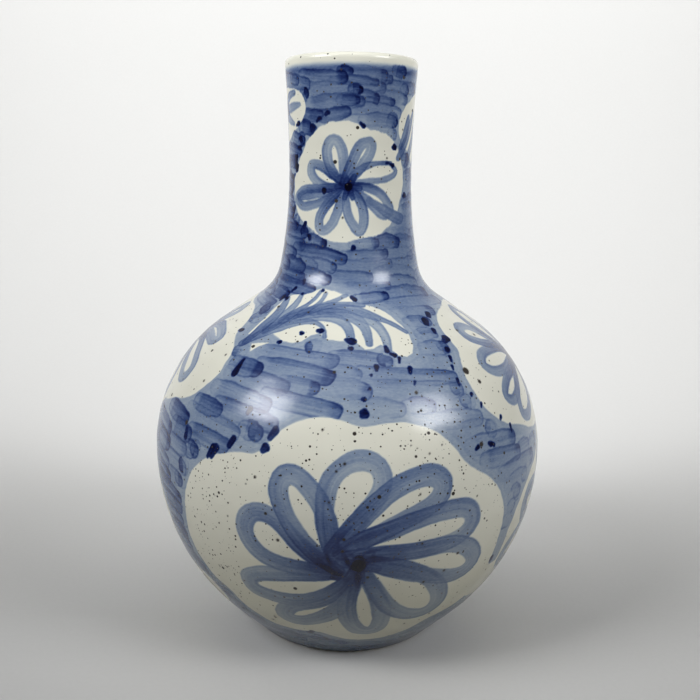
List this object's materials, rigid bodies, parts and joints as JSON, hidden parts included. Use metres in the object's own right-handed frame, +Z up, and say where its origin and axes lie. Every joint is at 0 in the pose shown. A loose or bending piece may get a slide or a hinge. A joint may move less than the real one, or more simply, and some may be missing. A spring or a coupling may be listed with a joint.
{
  "type": "talavera pottery vase",
  "caption": "Round-bodied bottle vase with a tall flared neck, built of luted thrown sections on a turned foot ring, glazed inside and out.",
  "frame": {"origin": "on the floor plane, under the middle of the foot ring", "axes": "+Z up along the axis the vase is thrown on; -Y faces the large front medallion, and +X is to its right"},
  "size_m": [0.2739, 0.274, 0.4],
  "materials": {
    "stoneware_clay": "bare fired clay, matte and slightly sandy",
    "luting_slip": "fired clay slip, matte",
    "painted_glaze": "glossy off-white glaze with cobalt brushwork and iron speckles",
    "liner_glaze": "glossy off-white glaze with iron speckles"
  },
  "bodies": {
    "root": {"lower_bowl": "stoneware_clay", "upper_dome": "stoneware_clay", "neck": "stoneware_clay", "foot_ring": "stoneware_clay", "belly_slip_seam": "luting_slip", "neck_slip_seam": "luting_slip", "foot_slip_seam": "luting_slip", "outer_glaze": "painted_glaze", "inner_glaze": "liner_glaze"}
  },
  "joints": []
}
